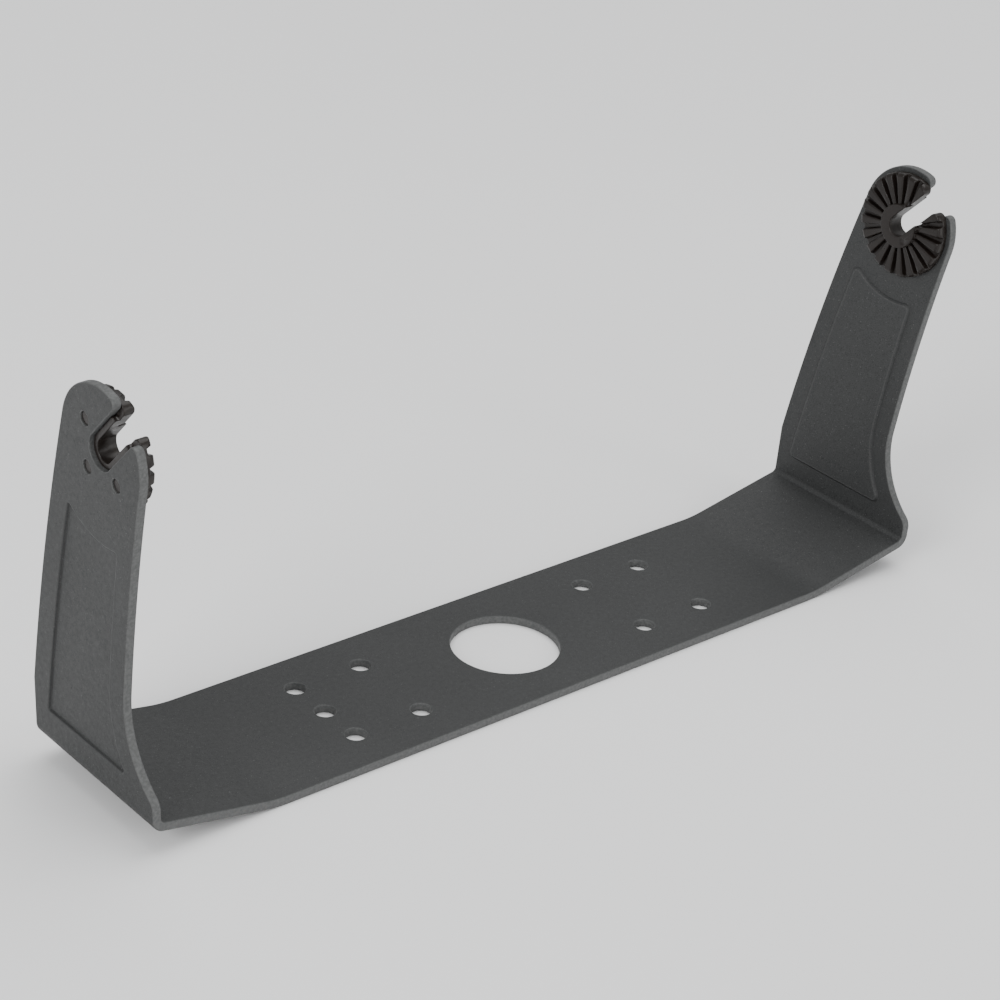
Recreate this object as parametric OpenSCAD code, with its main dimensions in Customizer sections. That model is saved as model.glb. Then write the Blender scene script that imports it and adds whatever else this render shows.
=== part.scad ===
// Gimbal mounting bracket for a marine chartplotter.
// A U of bent sheet metal stands on a console. Its base strap is screwed down, and each arm ends in an
// open slot lined by a toothed plastic disc. The display hangs between the two discs and is clamped there.
// Origin: centre of the cable hole, on the underside of the base strap. +X runs along the strap to the
// right-hand arm, -Y is the front, where the slots open, and +Z is up.

/* [Base strap] */
// Thickness of the sheet that the bracket is cut and bent from
plate_t = 3; // [2.5:0.5:3.5]
// Width of the base strap, front to back
strap_w = 65; // [62:1:70]
// Distance from the centre to the line where each end of the strap starts to rise
crease_x = 116.5; // [105:0.5:125]
// Angle at which each end of the strap rises
rise_angle = 10.4; // [6:0.2:14]
// Inside radius of the tight bend between the strap and each arm
corner_r = 1.8; // [1:0.2:3]

/* [Holes in the strap] */
// Radius of the central cable hole
cable_hole_r = 18.5; // [15:0.5:22]
// Radius of each screw hole
screw_hole_r = 3.5; // [2.5:0.1:4]
// Distance from the centre to the middle of each group of screw holes
group_x = 61.8; // [50:0.2:75]
// Distance between screw holes, along the strap
hole_pitch_x = 26.3; // [20:0.1:32]
// Distance between screw holes, front to back
hole_pitch_y = 32.5; // [24:0.5:40]

/* [Arms] */
// Distance from the centre to the outer face of each arm, produced down to the underside of the strap
arm_foot_x = 161.2; // [155:0.2:166]
// Angle at which the arms splay outwards
splay_angle = 2; // [0:0.1:4]
// Place of the pivot behind the middle of the strap; a negative value is in front of it
pivot_y = -10; // [-12:0.1:-8]
// Height of the pivot along the arm, from the underside of the strap
pivot_s = 124.7; // [121:0.1:129]
// Radius of the arm's round tip, centred on the pivot
tip_r = 20.2; // [19.8:0.1:21]
// Radius of the arm's rear edge
rear_edge_r = 833; // [780:1:900]
// Angle above level, seen from the pivot, where the rear edge runs into the tip
rear_edge_angle = 16.4; // [15.5:0.1:17]
// Radius of the arm's front edge
front_edge_r = 715; // [680:1:750]
// Angle below level, seen from the pivot, where the front edge runs into the tip
front_edge_angle = 11.8; // [11.3:0.1:12.1]
// Radius of the hollow sweep from the front edge down to the strap
sweep_r = 32; // [30:0.1:34]
// Angle above level, seen from the middle of the front edge's circle, where the sweep starts
sweep_angle = 5.87; // [5.7:0.01:6.1]
// Radius of the rounded corner at the foot of the sweep
foot_corner_r = 5; // [3:0.5:7]

/* [Slot and peg holes in each arm] */
// Angle of the slot from the length of the arm, leaning to the front
slot_lean = 43; // [35:1:50]
// Width of the slot in the arm
slot_w = 11.4; // [10.6:0.1:12]
// Radius of the rounded lips at the mouth of the slot
lip_r = 2.2; // [1:0.1:3]
// Distance from the pivot to each peg hole
peg_ring_r = 10.6; // [10:0.1:11.5]
// Radius of each peg hole
peg_hole_r = 2.15; // [1.6:0.05:2.4]

/* [Pressed panel in each arm] */
// How far the panel is pressed in from the outside
panel_depth = 0.8; // [0.4:0.1:1.2]
// Distance from the panel to the arm's rear edge
panel_rear_margin = 7.7; // [6:0.1:10]
// Distance from the panel to the arm's front edge
panel_front_margin = 6.7; // [5:0.1:9]
// Distance from the pivot to the panel's hollow top edge
panel_top_r = 28.7; // [24:0.1:32]
// Height of the panel's straight bottom edge
panel_bottom_s = 19.7; // [18:0.1:24]

/* [Toothed disc] */
// Radius of the disc
disc_r = 18.4; // [17.5:0.1:18.8]
// Height of the teeth's flat crests above the arm
crest_h = 3.7; // [3.4:0.1:4.6]
// Number of teeth
tooth_count = 20; // [16:2:24]
// Depth of the grooves between the teeth
groove_depth = 2; // [1:0.1:2.4]
// Share of each tooth pitch that the groove takes up
groove_share = 0.42; // [0.3:0.01:0.6]
// Radius of the plain hub inside the teeth
hub_r = 7.75; // [7:0.05:8.5]
// Height of the hub above the arm
hub_h = 4.9; // [4.7:0.1:6]
// Width of the slot in the disc, which takes the shank of a clamping knob
knob_slot_w = 7.2; // [6:0.1:7.4]
// Width of the collar that fills the slot in the arm
collar_w = 11; // [9.6:0.1:11.2]
// Depth of the collar in the arm's slot
collar_depth = 1.5; // [1:0.1:2.4]
// Distance from the pivot to the open end of the collar
collar_reach = 12.5; // [9:0.5:14]
// Radius of each peg
peg_r = 2.05; // [1.5:0.05:2.3]
// Length of each peg, in its hole
peg_len = 2.4; // [1:0.1:2.8]

/* [Hidden] */
$fn = 96;
edge_fn = 720;          // facets of the long shallow arcs, in the preview
reach = 30;             // more than the distance from the pivot to any edge of the tip
over = 1;               // how far a cutting shape runs past what it cuts
arm_blank_s = 160;      // length of the arms before their outline is cut
ease = 0.03;            // how far blended curves run across each other, so that they meet at a clear point

// Section of the sheet, in the plane seen from the front: [distance to the right, height]
turn_angle = 90 - splay_angle - rise_angle;
half_turn = rise_angle + turn_angle / 2;
ramp_len = (arm_foot_x - crease_x) / (cos(rise_angle) - sin(rise_angle) * tan(splay_angle));
outer_corner = [crease_x, 0] + ramp_len * toward(rise_angle);
bend_centre = outer_corner + (corner_r + plate_t) / cos(turn_angle / 2) * toward(half_turn + 90);

// Arm outline, in the plane of the arm: [distance to the rear, height along the arm]
pivot = [pivot_y, pivot_s];
rear_centre = pivot - (rear_edge_r - tip_r + ease) * toward(rear_edge_angle);
front_centre = pivot - (front_edge_r + tip_r - ease) * toward(front_edge_angle);
sweep_centre = front_centre + (front_edge_r - sweep_r + ease) * toward(sweep_angle);
foot_corner_y = foot_corner_r - strap_w / 2;
foot_corner_s = sweep_centre[1] - leg(sweep_r + foot_corner_r, foot_corner_y - sweep_centre[0]);
foot_corner = [foot_corner_y, foot_corner_s];

// Unit direction at an angle from the first axis
function toward(angle) = [cos(angle), sin(angle)];
// Second short side of a right-angled triangle
function leg(hypotenuse, side) = sqrt(hypotenuse * hypotenuse - side * side);
// A point moved over to the other side of the middle plane
function flipped(point) = [-point[0], point[1]];

// The waste outside a rounded corner, which spans from one unit direction to another as seen from its centre
module corner_waste(centre, r, from, to) {
    span = 3 * r;
    translate(centre)
        difference() {
            polygon([[0, 0], span * from, span * (from + to), span * to]);
            circle(r + ease);
        }
}

// ---- Section of the bent sheet ----

// The U filled in, as bounded by one face of the sheet: the outer face, or at depth plate_t the inner face
module filled_u(depth, top) {
    crease = [crease_x, 0] + depth / cos(rise_angle / 2) * toward(rise_angle / 2 + 90);
    corner = outer_corner + depth / cos(turn_angle / 2) * toward(half_turn + 90);
    arm_top = corner + top * toward(90 - splay_angle);
    bend_r = corner_r + plate_t - depth;
    difference() {
        polygon([crease, corner, arm_top, flipped(arm_top), flipped(corner), flipped(crease)]);
        for (side = [0, 1])
            mirror([side, 0])
                corner_waste(bend_centre, bend_r, toward(rise_angle - 90), toward(-splay_angle));
    }
}

module sheet_section() {
    difference() {
        filled_u(0, arm_blank_s);
        filled_u(plate_t, arm_blank_s + reach);
    }
}

// ---- Arm ----

// Places a part drawn against the right-hand arm: X outwards from its outer face, Z along the arm
module on_right_arm() {
    translate([arm_foot_x, 0, 0]) rotate([0, splay_angle, 0]) children();
}

// Raises a drawing made in the plane of the arm to a plate whose outer face is at X = outer
module arm_plate(outer, thickness) {
    translate([outer - thickness, 0, 0]) rotate([90, 0, 90]) linear_extrude(thickness) children();
}

// Turns a drawing whose first axis is the slot's axis into the plane of the arm
module at_slot() {
    translate(pivot) rotate(90 + slot_lean) children();
}

// All that lies in front of the arm, grown by a margin
module front_clearance(margin) {
    far = 2 * front_edge_r;
    translate(sweep_centre) circle(sweep_r + margin);
    intersection() {
        translate(front_centre) circle(front_edge_r + margin, $fn = edge_fn);
        polygon([front_centre, front_centre + far * toward(sweep_angle), front_centre + [0, far]]);
    }
}

// The waste outside one rounded lip of the slot, in the slot's own axes
module lip_waste() {
    lip = [leg(tip_r - lip_r, slot_w / 2 + lip_r), slot_w / 2 + lip_r];
    corner_waste(lip, lip_r, [0, -1], lip / norm(lip));
}

// A slot with a round closed end, open to the right
module open_slot(width, length) {
    circle(d = width);
    translate([0, -width / 2]) square([length, width]);
}

// The three peg places, beside and behind the slot's closed end
module at_pegs() {
    for (angle = [90, 180, 270]) rotate(angle) translate([peg_ring_r, 0]) children();
}

// The arm, running on below into the bend and past both edges of the strap
module arm_outline() {
    side = strap_w / 2 + 2 * over;
    rear_run = pivot + reach * toward(rear_edge_angle);
    front_run = pivot - reach * toward(front_edge_angle);
    to_sweep = sweep_centre - foot_corner;
    difference() {
        union() {
            intersection() {
                translate(rear_centre) circle(rear_edge_r, $fn = edge_fn);
                polygon([
                    [-side, 0], [side, 0], [side, rear_run[1]], rear_run,
                    pivot, front_run, [-side, front_run[1]]
                ]);
            }
            translate(pivot) circle(tip_r);
        }
        front_clearance(0);
        corner_waste(foot_corner, foot_corner_r, [-1, 0], to_sweep / norm(to_sweep));
        at_slot() {
            open_slot(slot_w, reach);
            lip_waste();
            mirror([0, 1]) lip_waste();
            at_pegs() circle(peg_hole_r);
        }
    }
}

module panel_outline() {
    difference() {
        intersection() {
            translate(rear_centre) circle(rear_edge_r - panel_rear_margin, $fn = edge_fn);
            translate([-strap_w / 2, panel_bottom_s]) square([strap_w, pivot_s - panel_bottom_s]);
        }
        front_clearance(panel_front_margin);
        translate(pivot) circle(panel_top_r);
    }
}

// All that is cut away around and through the right-hand arm above the bend
module right_arm_waste() {
    side = strap_w / 2 + over;
    on_right_arm()
        arm_plate(over, plate_t + 2 * over)
            difference() {
                translate([-side, foot_corner_s - 2 * over]) square([2 * side, arm_blank_s]);
                arm_outline();
            }
}

// ---- Bracket ----

module strap_holes() {
    through = plate_t + 2 * over;
    translate([0, 0, -over]) {
        cylinder(r = cable_hole_r, h = through);
        for (group = [-group_x, group_x], dx = [-0.5, 0.5], dy = [-0.5, 0.5])
            translate([group + dx * hole_pitch_x, dy * hole_pitch_y, 0])
                cylinder(r = screw_hole_r, h = through);
        translate([-group_x - hole_pitch_x / 2, 0, 0]) cylinder(r = screw_hole_r, h = through);
    }
}

// Both sides of the bracket, from what is drawn for the right
module on_both_sides() {
    children();
    mirror([1, 0, 0]) children();
}

module bracket() {
    color("#3c4144")
        difference() {
            union() {
                translate([0, strap_w / 2, 0]) rotate([90, 0, 0]) linear_extrude(strap_w) sheet_section();
                on_both_sides()
                    on_right_arm() arm_plate(-plate_t / 2, plate_t / 2 + panel_depth) panel_outline();
            }
            on_both_sides() right_arm_waste();
            on_both_sides() on_right_arm() arm_plate(over, panel_depth + over) panel_outline();
            strap_holes();
        }
}

// ---- Toothed disc ----

// Every groove is a narrow wedge that points at the middle, so the teeth widen towards the rim
module grooves() {
    half_angle = groove_share * 180 / tooth_count;
    length = 1.1 * disc_r;
    for (i = [0 : tooth_count - 1])
        rotate((i + 0.5) * 360 / tooth_count)
            polygon([[0, 0], length * toward(-half_angle), length * toward(half_angle)]);
}

// The first tooth is centred on the slot
module teeth() {
    difference() {
        cylinder(r = disc_r, h = crest_h);
        translate([0, 0, crest_h - groove_depth]) linear_extrude(groove_depth + over) grooves();
    }
}

// The disc alone: Z points away from the arm, whose face is at Z = 0, and the slot opens along X
module ratchet_disc() {
    difference() {
        union() {
            teeth();
            cylinder(r = hub_r, h = hub_h);
            translate([0, 0, -collar_depth])
                linear_extrude(collar_depth + over) open_slot(collar_w, collar_reach);
            translate([0, 0, -peg_len]) linear_extrude(peg_len + over) at_pegs() circle(peg_r);
        }
        translate([0, 0, -peg_len - over])
            linear_extrude(hub_h + peg_len + 2 * over) open_slot(knob_slot_w, reach);
    }
}

module ratchet_disc_right() {
    color("#2f2a28")
        on_right_arm()
            translate([-plate_t, pivot_y, pivot_s])
                rotate([0, -90, 0]) rotate(-slot_lean) ratchet_disc();
}

module ratchet_disc_left() {
    mirror([1, 0, 0]) ratchet_disc_right();
}

bracket();
ratchet_disc_left();
ratchet_disc_right();
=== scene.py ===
import cmath
import math

import bmesh
import bpy
from mathutils import Matrix, Vector
from mathutils.geometry import delaunay_2d_cdt


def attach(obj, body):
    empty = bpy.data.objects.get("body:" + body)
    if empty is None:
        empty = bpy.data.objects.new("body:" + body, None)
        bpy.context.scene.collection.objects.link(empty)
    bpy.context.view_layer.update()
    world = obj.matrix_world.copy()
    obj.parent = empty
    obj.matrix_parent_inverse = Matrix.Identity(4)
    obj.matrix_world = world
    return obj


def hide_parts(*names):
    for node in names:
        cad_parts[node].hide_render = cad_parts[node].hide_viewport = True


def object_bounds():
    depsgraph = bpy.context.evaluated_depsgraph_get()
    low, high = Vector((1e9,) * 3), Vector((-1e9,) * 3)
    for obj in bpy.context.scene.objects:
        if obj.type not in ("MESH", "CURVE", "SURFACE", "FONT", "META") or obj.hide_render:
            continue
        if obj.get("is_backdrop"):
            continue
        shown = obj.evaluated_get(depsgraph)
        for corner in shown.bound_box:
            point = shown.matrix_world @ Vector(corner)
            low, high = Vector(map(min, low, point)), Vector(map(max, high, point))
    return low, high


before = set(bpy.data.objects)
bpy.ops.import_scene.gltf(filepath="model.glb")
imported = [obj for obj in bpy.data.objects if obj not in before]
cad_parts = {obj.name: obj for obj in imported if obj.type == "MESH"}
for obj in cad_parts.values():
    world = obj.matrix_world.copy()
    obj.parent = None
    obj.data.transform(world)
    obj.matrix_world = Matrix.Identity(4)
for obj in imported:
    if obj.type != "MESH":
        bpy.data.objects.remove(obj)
cad_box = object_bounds()

# All sizes are in millimetres until a mesh is made. Points in a plane are complex numbers.
MM = 0.001

# ---- Bracket sizes ----
PLATE_T = 3.0                       # sheet thickness
STRAP_W = 65.0                      # width of the base strap
CREASE_X = 116.5                    # where the strap starts to rise
RISE = math.radians(10.4)           # slope of the strap's ends
SPLAY = math.radians(2)             # outward lean of the arms
CREASE_R = 50.0                     # inside radius of the soft bend in the strap
CORNER_R = 1.8                      # inside radius of the tight bend under each arm
FOOT_X = 161.2                      # outer face of an arm, produced down to the underside of the strap
PIVOT = complex(-10.0, 124.7)       # (to the rear, height along the arm)
TIP_R = 20.2                        # round tip of an arm, about the pivot
FOOT_CORNER_R = 5.0                 # rounded front corner just above each tight bend
# An arm's bowed rear edge and hollow front edge, each with the angle at which it meets the tip
REAR_R, REAR_ANGLE = 833.0, math.radians(16.4)
FRONT_R, FRONT_ANGLE = 715.0, math.radians(11.8)
# The tighter curve that takes the front edge out to the foot
SWEEP_R, SWEEP_ANGLE = 32.0, math.radians(5.87)
SLOT_ANGLE = math.radians(90 + 43)  # the slot's axis, seen in the plane of the arm
SLOT_W, LIP_R = 11.4, 2.2           # the slot in an arm, and the rounding of its mouth
PEG_RING_R, PEG_HOLE_R = 10.6, 2.15
CABLE_HOLE_R, SCREW_HOLE_R = 18.5, 3.5
GROUP_X, PITCH_X, PITCH_Y = 61.8, 26.3, 32.5    # middle and spacing of each group of screw holes
EDGE_R = 0.45                       # rounding of the coated edges

# ---- Pressed panel in each arm ----
PANEL_DEPTH = 0.8
PANEL_REAR_MARGIN, PANEL_FRONT_MARGIN = 7.2, 6.2
PANEL_TOP_R, PANEL_BOTTOM_S = 28.2, 19.2
PANEL_CORNER_R = 2.6
PANEL_WALL = 1.0                    # width of the sloping wall on each face

# ---- Toothed disc sizes ----
DISC_R, CREST_H = 18.4, 3.7
TOOTH_COUNT, GROOVE_DEPTH = 20, 2.0
GROOVE_TOP, GROOVE_FLOOR = 0.50, 0.28   # widths of a groove, as shares of the tooth pitch
HUB_R, HUB_H = 7.75, 4.9
KNOB_SLOT_W, MOUTH_R = 7.2, 2.2
RIM_R = 1.4                         # rounding of the teeth at the rim
COLLAR_W, COLLAR_DEPTH, COLLAR_REACH, COLLAR_CORNER_R = 11.0, 1.5, 12.5, 0.8
PEG_R, PEG_LEN = 2.05, 2.4
MOULD_EDGE_R = 0.3                  # rounding of the moulded edges
STEP_WIDTH = 0.04                   # draft of the moulded walls
MARK_R, MARK_DEPTH, MARK_ANGLE = 1.1, 0.07, math.radians(262)
MARK_EDGE = 0.12                    # width of the mark's sloping edge


# ---- Plane curves ----

def toward(angle):
    return cmath.rect(1, angle)


def arc(centre, radius, start, end, tolerance=0.006):
    """Points on an arc, both ends included, close enough for its radius."""
    step = 2 * math.acos(1 - tolerance / radius)
    count = max(2, math.ceil(abs(end - start) / step))
    return [centre + radius * toward(start + (end - start) * i / count) for i in range(count + 1)]


def circle(centre, radius, turns=1):
    """A closed loop, anticlockwise, or clockwise with turns=-1 for the edge of a hole."""
    return arc(centre, radius, 0, turns * math.tau)[:-1]


def leg(hypotenuse, side):
    return math.sqrt(hypotenuse * hypotenuse - side * side)


def meet(centre_a, radius_a, centre_b, radius_b):
    """Where two circles cross, on the left of the way from the first centre to the second."""
    gap = abs(centre_b - centre_a)
    along = (gap * gap + radius_a * radius_a - radius_b * radius_b) / (2 * gap)
    return centre_a + (centre_b - centre_a) / gap * complex(along, leg(radius_a, along))


def without_repeats(loop):
    return [z for i, z in enumerate(loop) if abs(z - loop[i - 1]) > 1e-6]


def offset(loop, distance):
    """A closed loop moved to the left of its direction, into the material."""
    moved = []
    for i, z in enumerate(loop):
        before = z - loop[i - 1]
        after = loop[(i + 1) % len(loop)] - z
        before, after = before / abs(before), after / abs(after)
        normal = 1j * (before + after) / abs(before + after)
        moved.append(z + distance * normal / (normal * (1j * before).conjugate()).real)
    return moved


def inside(z, loops):
    """True if the point lies inside an odd number of loops."""
    odd = False
    for loop in loops:
        for i, b in enumerate(loop):
            a = loop[i - 1]
            if (a.imag > z.imag) != (b.imag > z.imag):
                if z.real < a.real + (z.imag - a.imag) / (b.imag - a.imag) * (b.real - a.real):
                    odd = not odd
    return odd


def lip_centre(radius, half_width, lip):
    """Middle of the upper rounded lip of a slot that opens along +1 in a disc."""
    return complex(leg(radius - lip, half_width + lip), half_width + lip)


def open_slot(radius, half_width, lip):
    """The edge of a disc along a slot that opens along +1: lower lip, round closed end, upper lip."""
    corner = lip_centre(radius, half_width, lip)
    turn = cmath.phase(corner)
    quarter = math.pi / 2
    return (
        arc(corner.conjugate(), lip, -turn, quarter)
        + arc(0, half_width, -quarter, -3 * quarter)
        + arc(corner, lip, -quarter, turn)
    )


# ---- Plates: a plane region with its own heights above and below, closed by walls ----

EDGE_STEPS = (0, math.radians(30), math.radians(60), math.radians(90))


def rounded(inset, radius):
    """How far a rounded edge falls away, at a distance in from it."""
    if inset >= radius:
        return 0.0
    return radius - leg(radius, radius - inset)


def edge_rings(loop, radius):
    """The loop and its inner rings across a rounded edge, each with its distance in from the edge."""
    insets = [radius * (1 - math.sin(a)) for a in EDGE_STEPS]
    return [(offset(loop, d) if d > 1e-9 else loop, d) for d in insets]


def tessellate(borders, edge_radius, creases):
    """Triangles of the region inside the borders, which follow every ring and crease.

    A crease is (points, closed, value). Returns points, their distances in from the edge, the values
    of the creases they lie on, and the triangles."""
    chains = [(ring, True, ("inset", d)) for loop in borders for ring, d in edge_rings(loop, edge_radius)]
    chains += [(points, closed, ("value", value)) for points, closed, value in creases]
    points, edges, point_tags, edge_tags = [], [], [], []
    for chain, closed, tag in chains:
        first = len(points)
        points += [Vector((z.real, z.imag)) for z in chain]
        point_tags += [tag] * len(chain)
        count = len(chain) if closed else len(chain) - 1
        edges += [(first + i, first + (i + 1) % len(chain)) for i in range(count)]
        edge_tags += [tag] * count
    found, links, faces, from_points, from_edges, _ = delaunay_2d_cdt(points, edges, [], 0, 1e-5)
    tags = [set(point_tags[i] for i in source) for source in from_points]
    for link, source in zip(links, from_edges):
        for end in link:
            tags[end].update(edge_tags[i] for i in source)
    flat = [complex(v.x, v.y) for v in found]
    insets = [min([value for kind, value in tag if kind == "inset"], default=edge_radius) for tag in tags]
    values = [max([value for kind, value in tag if kind == "value"], default=0.0) for tag in tags]
    kept = [f for f in faces if inside(sum(flat[i] for i in f) / 3, borders)]
    return flat, insets, values, kept


def plate(name, net, edge_radius, top, bottom, place, marks=()):
    """A closed piece from a tessellated region. top and bottom give heights, place maps (z, height) to 3-D.

    Its attribute "rim" is 1 on the walls and the edge, and falls to 0 across the rounded edge. Where marks
    are given, for the top and for the bottom, "mark" is above 0 where a highlight is painted and below it
    where shade is painted."""
    flat, insets, values, faces = net
    used = sorted({i for f in faces for i in f})
    index = {old: new for new, old in enumerate(used)}
    count = len(used)
    upper, lower = [], []
    for i in used:
        fall = rounded(insets[i], edge_radius)
        upper.append(place(flat[i], top(flat[i], values[i]) - fall))
        lower.append(place(flat[i], bottom(flat[i], values[i]) + fall))
    rings = [[index[i] for i in f] for f in faces]
    edges = {edge for ring in rings for edge in zip(ring, ring[1:] + ring[:1])}
    open_edges = sorted((a, b) for a, b in edges if (b, a) not in edges)
    polygons = rings + [[i + count for i in reversed(ring)] for ring in rings]
    polygons += [[b, a, a + count, b + count] for a, b in open_edges]
    mesh = bpy.data.meshes.new(name)
    mesh.from_pydata([Vector(v) * MM for v in upper + lower], [], polygons)
    layers = {"rim": [1 - insets[i] / edge_radius for i in used] * 2}
    if marks:
        layers["mark"] = [mark(values[i]) for mark in marks for i in used]
    for label, numbers in layers.items():
        mesh.attributes.new(label, "FLOAT", "POINT").data.foreach_set("value", numbers)
    return finished(name, mesh)


def finished(name, mesh):
    """Object with consistent outward faces, smooth shading and normals that keep flat faces flat."""
    shape = bmesh.new()
    shape.from_mesh(mesh)
    bmesh.ops.recalc_face_normals(shape, faces=shape.faces)
    shape.to_mesh(mesh)
    shape.free()
    mesh.shade_smooth()
    piece = bpy.data.objects.new(name, mesh)
    bpy.context.scene.collection.objects.link(piece)
    weighted = piece.modifiers.new("flat_faces", "WEIGHTED_NORMAL")
    weighted.keep_sharp = True
    weighted.weight = 90
    return piece


# ---- Bracket ----

REAR_CENTRE = PIVOT - (REAR_R - TIP_R) * toward(REAR_ANGLE)
FRONT_CENTRE = PIVOT - (FRONT_R + TIP_R) * toward(FRONT_ANGLE)
SWEEP_CENTRE = FRONT_CENTRE + (FRONT_R - SWEEP_R) * toward(SWEEP_ANGLE)
FOOT_Y = FOOT_CORNER_R - STRAP_W / 2
FOOT_CORNER = complex(FOOT_Y, SWEEP_CENTRE.imag - leg(SWEEP_R + FOOT_CORNER_R, FOOT_Y - SWEEP_CENTRE.real))


def bend_sections():
    """The underside of the right half, from the middle to the arm: (length, turn, steps) of each section."""
    turn = math.pi / 2 - SPLAY - RISE
    ramp = (FOOT_X - CREASE_X) / (math.cos(RISE) - math.sin(RISE) * math.tan(SPLAY))
    soft, tight = CREASE_R + PLATE_T, CORNER_R + PLATE_T
    soft_run, tight_run = soft * math.tan(RISE / 2), tight * math.tan(turn / 2)
    return [
        (CREASE_X - soft_run, 0.0, 1),
        (soft * RISE, RISE, 8),
        (ramp - soft_run - tight_run, 0.0, 1),
        (tight * turn, turn, 12),
        (2 * PIVOT.imag, 0.0, 1),
    ]


def fold(p):
    """Point and upward or inward normal at a developed distance p from the middle, on the underside."""
    point, heading, left = 0j, 1 + 0j, abs(p)
    for length, turn, _ in bend_sections():
        run = min(left, length)
        if turn:
            radius, swing = length / turn, run * turn / length
            point += 1j * heading * radius * (1 - toward(swing))
            heading *= toward(swing)
        else:
            point += run * heading
        left -= run
        if left <= 0:
            break
    normal = 1j * heading
    if p < 0:
        return -point.conjugate(), -normal.conjugate()
    return point, normal


def bend_lines():
    """Developed distances at which the blank is creased."""
    lines, start = [], 0.0
    for length, turn, steps in bend_sections():
        if turn:
            lines += [start + length * i / steps for i in range(steps + 1)]
        start += length
    return lines


ARM_START = sum(length for length, _, _ in bend_sections()[:-1])
ARM_SHIFT = ARM_START - ((fold(ARM_START)[0] - FOOT_X) / toward(math.pi / 2 - SPLAY)).real


def blank(z, side):
    """A point of the arm's plane, (to the rear, up the arm), laid flat in the blank, (along, to the rear)."""
    return complex(side * (z.imag + ARM_SHIFT), z.real)


def folded(z, height):
    point, normal = fold(z.real)
    bent = point + height * normal
    return bent.real, z.imag, bent.imag


def at_slot(points):
    """Points drawn about the slot's own axis, placed in the plane of the arm."""
    return [PIVOT + toward(SLOT_ANGLE) * z for z in points]


def arm_edge():
    """The arm's outline, anticlockwise from its rear foot, over the tip, to its front foot."""
    rear_foot = math.acos((STRAP_W / 2 - REAR_CENTRE.real) / REAR_R)
    lip = cmath.phase(lip_centre(TIP_R, SLOT_W / 2, LIP_R))
    sweep_end = cmath.phase(FOOT_CORNER - SWEEP_CENTRE)
    return without_repeats(
        arc(REAR_CENTRE, REAR_R, rear_foot, REAR_ANGLE)
        + arc(PIVOT, TIP_R, REAR_ANGLE, SLOT_ANGLE - lip)
        + at_slot(open_slot(TIP_R, SLOT_W / 2, LIP_R))
        + arc(PIVOT, TIP_R, SLOT_ANGLE + lip, math.pi + FRONT_ANGLE)
        + arc(FRONT_CENTRE, FRONT_R, FRONT_ANGLE, SWEEP_ANGLE)
        + arc(SWEEP_CENTRE, SWEEP_R, SWEEP_ANGLE, sweep_end)
        + arc(FOOT_CORNER, FOOT_CORNER_R, sweep_end + math.pi, math.pi)
    )


def panel_edge(margin):
    """The panel's outline, moved inwards by a margin, anticlockwise from its rear bottom corner."""
    r = PANEL_CORNER_R
    rear, front = REAR_R - PANEL_REAR_MARGIN - r, FRONT_R + PANEL_FRONT_MARGIN + r
    top, sweep, bottom = PANEL_TOP_R + r, SWEEP_R + PANEL_FRONT_MARGIN + r, PANEL_BOTTOM_S + r
    rear_bottom = complex(REAR_CENTRE.real + leg(rear, bottom - REAR_CENTRE.imag), bottom)
    rear_top = meet(PIVOT, top, REAR_CENTRE, rear)
    front_top = meet(PIVOT, top, FRONT_CENTRE, front)
    front_bottom = complex(SWEEP_CENTRE.real + leg(sweep, bottom - SWEEP_CENTRE.imag), bottom)
    phase = cmath.phase
    down = math.pi / 2
    rear_angles = [phase(z - REAR_CENTRE) for z in (rear_bottom, rear_top)]
    top_angles = [phase(z - PIVOT) for z in (rear_top, front_top)]
    front_start = phase(front_top - FRONT_CENTRE)
    sweep_end = phase(front_bottom - SWEEP_CENTRE)
    loop = (
        arc(rear_bottom, r, -down, rear_angles[0])
        + arc(REAR_CENTRE, rear + r, rear_angles[0], rear_angles[1])
        + arc(rear_top, r, rear_angles[1], top_angles[0] + math.pi)
        + arc(PIVOT, PANEL_TOP_R, top_angles[0], top_angles[1])
        + arc(front_top, r, top_angles[1] + math.pi, front_start + math.pi)
        + arc(FRONT_CENTRE, front - r, front_start, SWEEP_ANGLE)
        + arc(SWEEP_CENTRE, sweep - r, SWEEP_ANGLE, sweep_end)
        + arc(front_bottom, r, sweep_end + math.pi, 3 * down)
    )
    return offset(without_repeats(loop), margin)


def smooth(t):
    """Eases from 0 to 1 with level ends."""
    return t * t * (3 - 2 * t)


def bracket_borders():
    """The blank's outline and holes, each with the material on its left."""
    creases = bend_lines()
    half = STRAP_W / 2
    edge = arm_edge()
    front = [complex(p, -half) for p in [-p for p in reversed(creases)] + creases]
    rear = [-z for z in front]
    outline = front + [blank(z, 1) for z in reversed(edge)] + rear + [blank(z, -1) for z in edge]
    screws = [
        complex(group + dx * PITCH_X, dy * PITCH_Y)
        for group in (-GROUP_X, GROUP_X) for dx in (-0.5, 0.5) for dy in (-0.5, 0.5)
    ]
    screws.append(complex(-GROUP_X - PITCH_X / 2, 0))
    pegs = [blank(z, side) for side in (-1, 1) for z in at_slot([PEG_RING_R * 1j ** k for k in (1, 2, 3)])]
    holes = [circle(0, CABLE_HOLE_R, -1)]
    holes += [circle(z, SCREW_HOLE_R, -1) for z in screws]
    holes += [circle(z, PEG_HOLE_R, -1) for z in pegs]
    return [without_repeats(outline)] + holes


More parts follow.
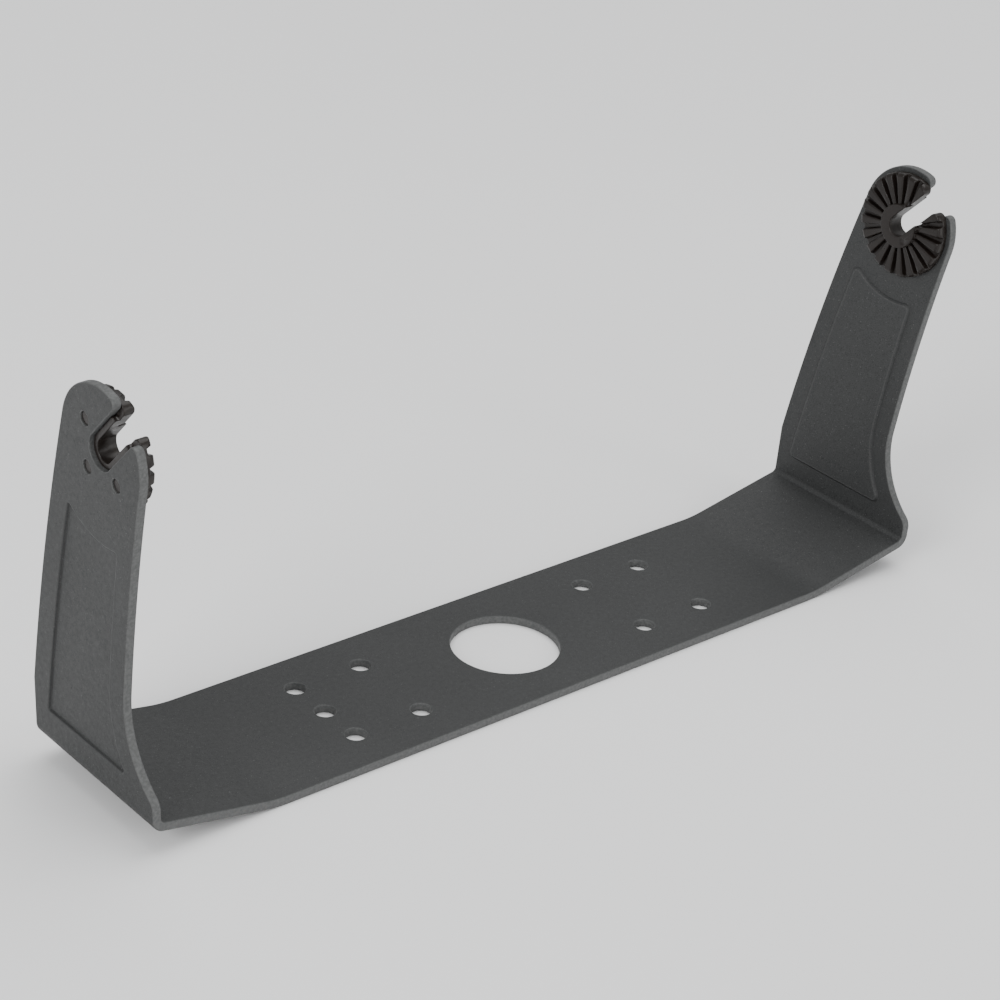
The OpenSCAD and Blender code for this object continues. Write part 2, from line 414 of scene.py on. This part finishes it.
def bracket_creases():
    """Lines across the strap at the bends, and the rings that carry the panels' pressed depth.

    A ring's value counts walls inwards: 0 to 1 across the inner face's, 1 to 2 across the outer face's."""
    half = STRAP_W / 2
    lines = [([complex(p, -half), complex(p, half)], False, 0.0)
             for line in bend_lines() for p in (-line, line)]
    steps = 6
    for i in range(2 * steps + 1):
        wall, step = divmod(i, steps)
        across = wall + (1 - math.cos(math.pi * step / steps)) / 2
        ring = panel_edge(PANEL_WALL * across)
        for side in (-1, 1):
            lines.append(([blank(z, side) for z in ring], True, across))
    return lines


def pressed_in(across):
    """Depth of the panel on the outer face: a soft upper edge and a crisp foot, in the second wall."""
    return PANEL_DEPTH * (1 - leg(1, max(across - 1, 0.0)))


def pressed_out(across):
    """Height of the panel on the inner face: soft at both edges, in the first wall."""
    return PANEL_DEPTH * smooth(min(across, 1.0))


def bump(t, middle, half_width):
    """A soft peak of 1 at the middle, 0 beyond half_width from it."""
    return smooth(max(1 - abs(t - middle) / half_width, 0.0))


def raised_panel_painted_light(across):
    """Painted highlight on the crest of the raised panel on the inner face, and painted shade at its foot."""
    return bump(across, 1.05, 0.45) - bump(across, 0.2, 0.2)


def recess_painted_light(across):
    """A faint painted highlight on the shoulder of the recess on the outer face, and painted shade at its
    foot.
    """
    return 0.5 * bump(across, 1.2, 0.2) - bump(across, 1.75, 0.25)


def make_bracket():
    net = tessellate(bracket_borders(), EDGE_R, bracket_creases())
    return plate(
        "bracket_sheet", net, EDGE_R,
        top=lambda z, across: PLATE_T + pressed_out(across),
        bottom=lambda z, across: pressed_in(across),
        place=folded,
        marks=(raised_panel_painted_light, recess_painted_light),
    )


# ---- Toothed discs ----

def tooth_height(z):
    """Height of the toothed face: radial grooves between flat crests. A crest lies along the slot."""
    from_middle = abs((cmath.phase(z) / math.tau * TOOTH_COUNT) % 1 - 0.5)
    up_wall = (from_middle - GROOVE_FLOOR / 2) / ((GROOVE_TOP - GROOVE_FLOOR) / 2)
    rise = GROOVE_DEPTH - rounded(max(DISC_R - abs(z), 0.0), RIM_R)
    return CREST_H - GROOVE_DEPTH + rise * smooth(min(max(up_wall, 0.0), 1.0))


def disc_top(z, _):
    depth_in = HUB_R - abs(z)
    if depth_in < -STEP_WIDTH:
        return tooth_height(z)
    hub = HUB_H - rounded(max(depth_in, 0.0), MOULD_EDGE_R)
    if depth_in < 0:
        share = (depth_in + STEP_WIDTH) / STEP_WIDTH
        return share * hub + (1 - share) * tooth_height(z)
    to_mark = MARK_R - abs(z - mark_centre())
    return hub - MARK_DEPTH * smooth(min(max(to_mark / MARK_EDGE, 0.0), 1.0))


def mark_centre():
    """Middle of the round mark that an ejector pin leaves on the hub."""
    return (HUB_R + KNOB_SLOT_W / 2) / 2 * toward(MARK_ANGLE)


def outside_collar(z):
    """Distance out from the collar's edge, negative inside it."""
    half, corner = COLLAR_W / 2, COLLAR_CORNER_R
    if z.real < 0:
        return abs(z) - half
    over = complex(z.real - (COLLAR_REACH - corner), abs(z.imag) - (half - corner))
    round_part = abs(complex(max(over.real, 0.0), max(over.imag, 0.0)))
    return round_part + min(max(over.real, over.imag), 0.0) - corner


def collar_edge():
    half, corner, quarter = COLLAR_W / 2, COLLAR_CORNER_R, math.pi / 2
    end = complex(COLLAR_REACH - corner, half - corner)
    return without_repeats(
        arc(0, half, quarter, 3 * quarter)
        + arc(end.conjugate(), corner, -quarter, 0)
        + arc(end, corner, 0, quarter)
    )


def peg_places():
    return [PEG_RING_R * 1j ** k for k in (1, 2, 3)]


def boss(outside, length):
    """Height below the disc of a collar or peg, at a distance out from its edge."""
    if outside >= STEP_WIDTH:
        return 0.0
    if outside > 0:
        return -(length - MOULD_EDGE_R) * (1 - outside / STEP_WIDTH)
    return -(length - rounded(-outside, MOULD_EDGE_R))


def disc_bottom(z, _):
    pegs = [boss(abs(z - place) - PEG_R, PEG_LEN) for place in peg_places()]
    return min([boss(outside_collar(z), COLLAR_DEPTH)] + pegs)


def disc_edge():
    lip = cmath.phase(lip_centre(DISC_R, KNOB_SLOT_W / 2, MOUTH_R))
    return without_repeats(
        open_slot(DISC_R, KNOB_SLOT_W / 2, MOUTH_R) + arc(0, DISC_R, lip, math.tau - lip)
    )


def disc_creases():
    """Rings and spokes that the moulded steps and grooves follow."""
    insets = [MOULD_EDGE_R * (1 - math.sin(a)) for a in EDGE_STEPS]
    rings = [circle(0, HUB_R + STEP_WIDTH)] + [circle(0, HUB_R - d) for d in insets]
    rings += [circle(0, DISC_R - RIM_R * (1 - math.sin(a))) for a in EDGE_STEPS[:-1]]
    rings += [circle(mark_centre(), MARK_R), circle(mark_centre(), MARK_R - MARK_EDGE)]
    rings += [offset(collar_edge(), d) for d in [-STEP_WIDTH] + insets]
    for place in peg_places():
        rings += [circle(place, PEG_R + STEP_WIDTH)] + [circle(place, PEG_R - d) for d in insets]
    steps = 4
    spokes = []
    for tooth in range(TOOTH_COUNT):
        for side in (-1, 1):
            for i in range(steps + 1):
                half_width = (GROOVE_FLOOR + (GROOVE_TOP - GROOVE_FLOOR) * i / steps) / 2
                ray = toward((tooth + 0.5 + side * half_width) * math.tau / TOOTH_COUNT)
                spokes.append([(HUB_R + STEP_WIDTH) * ray, DISC_R * ray])
    return [(ring, True, 0.0) for ring in rings] + [(spoke, False, 0.0) for spoke in spokes]


def on_arm(side):
    """Placing function for a disc: its slot lies along the arm's slot, its back on the arm's inner face."""
    def place(z, height):
        spot = PIVOT + toward(SLOT_ANGLE) * z.conjugate()
        return folded(blank(spot, side), PLATE_T + height)
    return place


def make_disc(side, net):
    name = "ratchet_disc_" + ("left" if side < 0 else "right") + "_moulding"
    return plate(name, net, MOULD_EDGE_R, disc_top, disc_bottom, on_arm(side))


# ---- Materials ----

def node(tree, kind, inputs=None, **settings):
    """A shader node with its settings and its plain input values or links."""
    made = tree.nodes.new(kind)
    for key, value in settings.items():
        setattr(made, key, value)
    for key, value in (inputs or {}).items():
        socket = made.inputs[key]
        if isinstance(value, bpy.types.NodeSocket):
            tree.links.new(value, socket)
        else:
            socket.default_value = value
    return made


def noise(tree, place, size, detail=2.0, roughness=0.5):
    """Noise whose features are about size millimetres across."""
    made = node(tree, "ShaderNodeTexNoise", {
        "Vector": place, "Scale": 1 / (size * MM), "Detail": detail, "Roughness": roughness,
    })
    return made.outputs["Fac"]


def remap(tree, value, low, high, to_low, to_high):
    made = node(tree, "ShaderNodeMapRange", {
        "Value": value, "From Min": low, "From Max": high, "To Min": to_low, "To Max": to_high,
    })
    return made.outputs["Result"]


def blend(tree, share, a, b):
    """Colour a blended towards b by share. Each may be a link or a value."""
    made = node(tree, "ShaderNodeMix", data_type="RGBA")
    # This node's colour sockets are inputs 6 and 7 and output 2.
    for index, value in ((0, share), (6, a), (7, b)):
        if isinstance(value, bpy.types.NodeSocket):
            tree.links.new(value, made.inputs[index])
        else:
            made.inputs[index].default_value = value
    return made.outputs[2]


def grey(level):
    return (level, level, level, 1.0)


def new_material(name):
    material = bpy.data.materials.new(name)
    material.use_nodes = True
    tree = material.node_tree
    place = node(tree, "ShaderNodeTexCoord").outputs["Object"]
    return material, tree, tree.nodes["Principled BSDF"], place


def multiply(tree, a, b):
    made = node(tree, "ShaderNodeMath", {0: a, 1: b}, operation="MULTIPLY")
    return made.outputs[0]


def attribute(tree, name):
    return node(tree, "ShaderNodeAttribute", attribute_name=name).outputs["Fac"]


def bend_shade_mask(tree, place):
    """1 at each tight bend, fading out up the arm: painted shade in the corner of the bend, laid on as extra
    dark specks.
    """
    bend_end = FOOT_X - PLATE_T - 2 * CORNER_R
    bend_start = bend_end - 2
    bend_top, arm_plain = 14, 1.3 * PANEL_BOTTOM_S
    axes = node(tree, "ShaderNodeSeparateXYZ", {0: place})
    out = node(tree, "ShaderNodeMath", {0: axes.outputs["X"]}, operation="ABSOLUTE").outputs[0]
    beyond = remap(tree, out, bend_start * MM, bend_end * MM, 0.0, 1.0)
    low = remap(tree, axes.outputs["Z"], bend_top * MM, arm_plain * MM, 1.0, 0.0)
    return multiply(tree, beyond, low)


def powder_coat():
    """Dark slate powder coat: sandy grain, pale and dark specks, cut edges paler as partly rubbed coat and
    partly painted highlight, painted highlight on the panels' crests, and painted shade at the panels' feet
    and in the tight bends.
    """
    material, tree, shader, place = new_material("powder_coat")
    shader.inputs["Specular IOR Level"].default_value = 0.3
    base, light = (0.0300, 0.0310, 0.0310, 1), (0.035, 0.036, 0.036, 1)
    pale, deep = (0.100, 0.102, 0.101, 1), (0.013, 0.0135, 0.0135, 1)
    bend_shade = bend_shade_mask(tree, place)
    colour = blend(tree, remap(tree, noise(tree, place, 45, 3), 0.3, 0.7, 0.0, 1.0), base, light)
    sand = noise(tree, place, 0.38, 2, 0.6)
    dark = remap(tree, sand, 0.34, 0.48, 0.8, 0.0)
    colour = blend(tree, dark, colour, deep)
    # Painted shade at the foot of each arm, as extra dark specks.
    colour = blend(tree, multiply(tree, bend_shade, remap(tree, sand, 0.42, 0.52, 0.4, 0.0)), colour, deep)
    fleck = remap(tree, noise(tree, place, 0.5, 1), 0.70, 0.76, 0.0, 0.9)
    colour = blend(tree, fleck, colour, pale)
    patchy = remap(tree, noise(tree, place, 0.9, 3), 0.35, 0.65, 0.55, 1.0)
    # Paler cut edges: partly rubbed coat, partly painted highlight.
    paler_edge = multiply(tree, attribute(tree, "rim"), patchy)
    colour = blend(tree, paler_edge, colour, pale)
    # Painted highlight on the panels' crests and painted shade at their feet.
    mark = multiply(tree, attribute(tree, "mark"), patchy)
    colour = blend(tree, remap(tree, mark, 0.0, 1.0, 0.0, 0.26), colour, pale)
    colour = blend(tree, remap(tree, mark, -1.0, 0.0, 1.0, 0.0), colour, deep)
    tree.links.new(colour, shader.inputs["Base Color"])
    rough = remap(tree, noise(tree, place, 1.6, 3), 0.3, 0.7, 0.50, 0.62)
    tree.links.new(rough, shader.inputs["Roughness"])
    grain = node(tree, "ShaderNodeBump", {"Strength": 0.8, "Distance": 0.06 * MM, "Height": sand})
    peel = node(tree, "ShaderNodeBump", {
        "Strength": 0.2, "Distance": 0.08 * MM, "Height": noise(tree, place, 1.4, 1),
        "Normal": grain.outputs["Normal"],
    })
    tree.links.new(peel.outputs["Normal"], shader.inputs["Normal"])
    return material


def disc_plastic():
    """Brown-black moulded nylon with a satin skin, fine texture and edges paler across the rim."""
    material, tree, shader, place = new_material("disc_plastic")
    shader.inputs["Specular IOR Level"].default_value = 0.28
    base = (0.0080, 0.0056, 0.0045, 1)
    cloud = remap(tree, noise(tree, place, 9, 3), 0.3, 0.7, 0.0, 1.0)
    colour = blend(tree, cloud, base, (0.0110, 0.0080, 0.0066, 1))
    patchy = remap(tree, noise(tree, place, 2.5, 3), 0.4, 0.65, 0.0, 0.5)
    # Paler across the rounded rim and slot walls.
    paler_edge = multiply(tree, attribute(tree, "rim"), patchy)
    colour = blend(tree, paler_edge, colour, (0.030, 0.026, 0.023, 1))
    tree.links.new(colour, shader.inputs["Base Color"])
    rough = remap(tree, noise(tree, place, 1.2, 3), 0.3, 0.7, 0.27, 0.40)
    tree.links.new(rough, shader.inputs["Roughness"])
    grain = node(tree, "ShaderNodeBump", {
        "Strength": 0.4, "Distance": 0.03 * MM, "Height": noise(tree, place, 0.35, 2),
    })
    tree.links.new(grain.outputs["Normal"], shader.inputs["Normal"])
    return material


def floor_paint():
    """Matt pale grey, very slightly uneven."""
    material, tree, shader, place = new_material("pale_floor")
    tone = remap(tree, noise(tree, place, 300, 2), 0.3, 0.7, 0.0, 1.0)
    tree.links.new(blend(tree, tone, grey(0.86), grey(0.88)), shader.inputs["Base Color"])
    shader.inputs["Roughness"].default_value = 0.9
    return material


# ---- Studio ----

def add_camera():
    """Camera in front, to the left and above, slightly rolled, aimed at a point behind the strap."""
    azimuth, elevation, roll = (math.radians(a) for a in (41.73, 27.82, 4.43))
    target, distance, lens = Vector((64.6, 80.6, 3.0)) * MM, 1006.5 * MM, 98.17
    level = Vector((math.cos(azimuth), -math.sin(azimuth), 0))
    ahead = Vector((math.sin(azimuth), math.cos(azimuth), 0))
    forward = math.cos(elevation) * ahead - math.sin(elevation) * Vector((0, 0, 1))
    upright = level.cross(forward)
    right = math.cos(roll) * level + math.sin(roll) * upright
    above = math.cos(roll) * upright - math.sin(roll) * level
    camera = bpy.data.objects.new("camera", bpy.data.cameras.new("camera"))
    camera.data.lens = lens
    camera.data.clip_start = 0.01
    camera.matrix_world = Matrix((right, above, -forward)).transposed().to_4x4()
    camera.matrix_world.translation = target - distance * forward
    bpy.context.scene.collection.objects.link(camera)
    bpy.context.scene.camera = camera


def add_light(name, place, target, size, watts):
    lamp = bpy.data.lights.new(name, "AREA")
    lamp.size = size
    lamp.energy = watts
    light = bpy.data.objects.new(name, lamp)
    light.location = place
    light.rotation_euler = (Vector(target) - Vector(place)).to_track_quat("-Z", "Y").to_euler()
    bpy.context.scene.collection.objects.link(light)


def add_studio():
    """A pale floor, three large soft lights round the object and a pale sky. Lengths are in metres here."""
    low, high = (Vector(corner) for corner in cad_box)
    middle = (low + high) / 2
    side = 12.0
    mesh = bpy.data.meshes.new("floor")
    corners = [(-side, -side), (side, -side), (side, side), (-side, side)]
    mesh.from_pydata([(x, y, low.z) for x, y in corners], [], [(0, 1, 2, 3)])
    mesh.materials.append(floor_paint())
    floor = bpy.data.objects.new("floor", mesh)
    bpy.context.scene.collection.objects.link(floor)
    floor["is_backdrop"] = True
    add_light("key", middle + Vector((-1.75, -0.4, 0.85)), middle, 1.0, 26)
    add_light("front", middle + Vector((0.3, -1.8, 0.5)), middle, 1.2, 15)
    add_light("top", middle + Vector((0.4, 0.3, 1.8)), middle, 1.8, 27)
    world = bpy.data.worlds.new("studio")
    bpy.context.scene.world = world
    world.use_nodes = True
    sky = world.node_tree.nodes["Background"]
    sky.inputs["Color"].default_value = (0.98, 0.99, 1.0, 1)
    sky.inputs["Strength"].default_value = 0.6


# ---- Assembly ----

def dress(piece, material, cad_node):
    """Gives a piece its material and puts it in the place of the CAD node that it shows."""
    piece.data.materials.append(material)
    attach(piece, "root")
    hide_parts(cad_node)


add_camera()
add_studio()
dress(make_bracket(), powder_coat(), "bracket")
disc_net = tessellate([disc_edge()], MOULD_EDGE_R, disc_creases())
plastic = disc_plastic()
for hand, side in (("left", -1), ("right", 1)):
    dress(make_disc(side, disc_net), plastic, "ratchet_disc_" + hand)

boxes = {"cad": cad_box, "visual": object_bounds()}
{key: [list(map(float, corner)) for corner in box] for key, box in boxes.items()}
